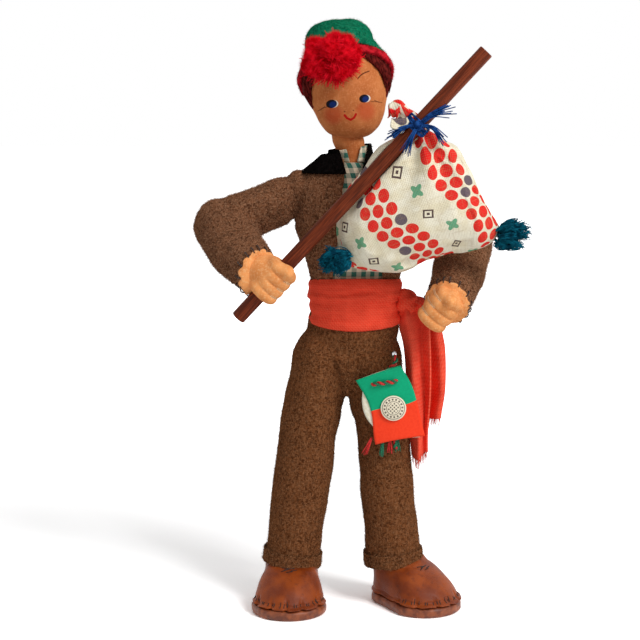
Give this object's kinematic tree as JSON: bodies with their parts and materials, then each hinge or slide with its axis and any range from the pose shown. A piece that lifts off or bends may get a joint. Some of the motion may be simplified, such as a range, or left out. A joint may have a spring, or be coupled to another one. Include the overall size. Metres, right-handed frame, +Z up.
{
  "type": "cloth doll",
  "caption": "Stuffed cloth doll of a country traveller in a brown felt suit, posed on a bent wire armature, with cap, sash and a cloth bundle tied to a staff.",
  "frame": {"origin": "on the floor under the middle of the outer box, level with the undersides of the soles", "axes": "+Z up through the head; the doll faces -Y; its right arm, with the staff, is on the -X side"},
  "size_m": [0.1546, 0.0794, 0.2802],
  "materials": {
    "brown_felt": "fuzzy heathered wool felt",
    "trouser_felt": "fuzzy heathered wool felt",
    "black_felt": "matt wool felt",
    "check_cotton": "plain woven cotton, teal and cream checks",
    "skin_cotton": "smooth stuffed cotton",
    "red_cotton": "woven cotton",
    "red_wool": "loose wool yarn",
    "green_felt": "matt wool felt",
    "hair_felt": "matt wool felt",
    "print_cotton": "printed cotton",
    "blue_yarn": "twisted wool yarn",
    "teal_wool": "loose wool yarn",
    "staff_wood": "stained dowel, satin",
    "shoe_leather": "polished",
    "sole_leather": "polished edge",
    "tag_paper": "coated card",
    "plain_paper": "uncoated card",
    "tag_thread": "twisted thread",
    "wire_steel": "drawn wire",
    "stuffing": "packed wadding"
  },
  "bodies": {
    "torso": {"torso_stuffing": "stuffing", "spine_wire": "wire_steel", "shoulder_wire": "wire_steel", "neck": "skin_cotton", "shirt_front": "check_cotton", "jacket_front_right": "brown_felt", "jacket_front_left": "brown_felt", "jacket_back": "brown_felt", "shirt_collar": "check_cotton", "felt_collar": "black_felt", "trouser_seat": "trouser_felt", "hip_wire": "wire_steel", "waist_sash": "red_cotton", "sash_knot": "red_cotton"},
    "head": {"head_stuffed": "skin_cotton", "hair": "hair_felt", "cap_band": "red_wool", "cap_crown": "green_felt", "pompom": "red_wool"},
    "right_arm": {"right_upper_sleeve": "brown_felt", "right_upper_arm_wire": "wire_steel"},
    "right_forearm": {"right_lower_sleeve": "brown_felt", "right_forearm_wire": "wire_steel", "right_hand": "skin_cotton"},
    "staff_body": {"staff": "staff_wood"},
    "bundle": {"bundle_bag": "print_cotton", "bundle_ruffle": "print_cotton", "bundle_tie": "blue_yarn", "bundle_tassel_left": "teal_wool", "bundle_tassel_right": "teal_wool"},
    "left_arm": {"left_upper_sleeve": "brown_felt", "left_upper_arm_wire": "wire_steel"},
    "left_forearm": {"left_lower_sleeve": "brown_felt", "left_forearm_wire": "wire_steel", "left_hand": "skin_cotton"},
    "right_leg": {"right_trouser_leg": "trouser_felt", "right_leg_wire": "wire_steel", "right_trouser_cuff": "trouser_felt", "right_shoe_upper": "shoe_leather", "right_shoe_sole": "sole_leather"},
    "left_leg": {"left_trouser_leg": "trouser_felt", "left_leg_wire": "wire_steel", "left_trouser_cuff": "trouser_felt", "left_shoe_upper": "shoe_leather", "left_shoe_sole": "sole_leather", "tag_pin": "wire_steel"},
    "tag": {"tag_card": "tag_paper", "tag_back_leaf": "plain_paper", "tag_disc": "plain_paper", "tag_cord": "tag_thread", "tag_cord_stitch": "tag_thread"},
    "sash_tails": {"sash_tail_front": "red_cotton", "sash_tail_rear": "red_cotton"}
  },
  "joints": [
    {"name": "head_turn", "type": "hinge", "parent": "torso", "child": "head", "pos_m": [-0.00424, 0.01847, 0.2255], "axis": [-0.1547, 0, 0.988], "range_deg": [-30, 30]},
    {"name": "right_shoulder", "type": "hinge", "parent": "torso", "child": "right_arm", "pos_m": [-0.02684, 0.01847, 0.1995], "axis": [-0.9217, -0.0451, -0.3853], "range_deg": [0, 30]},
    {"name": "right_elbow", "type": "hinge", "parent": "right_arm", "child": "right_forearm", "pos_m": [-0.06463, 0.01662, 0.1837], "axis": [0, 0, -1], "range_deg": [0, 30]},
    {"name": "staff_slide", "type": "slide", "parent": "right_forearm", "child": "staff_body", "axis": [0.6738, -0.095, 0.7328], "range_m": [-0.006, 0.012]},
    {"name": "bundle_swing", "type": "hinge", "parent": "staff_body", "child": "bundle", "pos_m": [0.02557, -0.03121, 0.23235], "axis": [-0.6738, 0.095, -0.7328], "range_deg": [0, 30]},
    {"name": "left_shoulder", "type": "hinge", "parent": "torso", "child": "left_arm", "pos_m": [0.02196, 0.01847, 0.1995], "axis": [0.7484, 0.207, -0.6301], "range_deg": [-15, 12]},
    {"name": "left_elbow", "type": "hinge", "parent": "left_arm", "child": "left_forearm", "pos_m": [0.05264, 0.02696, 0.17367], "axis": [0.6364, -0.4916, 0.5944], "range_deg": [0, 30]},
    {"name": "right_hip", "type": "hinge", "parent": "torso", "child": "right_leg", "pos_m": [-0.01844, 0.01847, 0.12], "axis": [-1, 0, 0], "range_deg": [-10, 45]},
    {"name": "left_hip", "type": "hinge", "parent": "torso", "child": "left_leg", "pos_m": [0.00976, 0.01847, 0.12], "axis": [-1, 0, 0], "range_deg": [-10, 45]},
    {"name": "tag_swing", "type": "hinge", "parent": "left_leg", "child": "tag", "pos_m": [0.01756, 0.00684, 0.1243], "axis": [-1, 0, 0], "range_deg": [0, 35]},
    {"name": "sash_tail_swing", "type": "hinge", "parent": "torso", "child": "sash_tails", "pos_m": [0.02226, 0.01547, 0.1475], "axis": [0, -1, 0], "range_deg": [0, 25]}
  ]
}
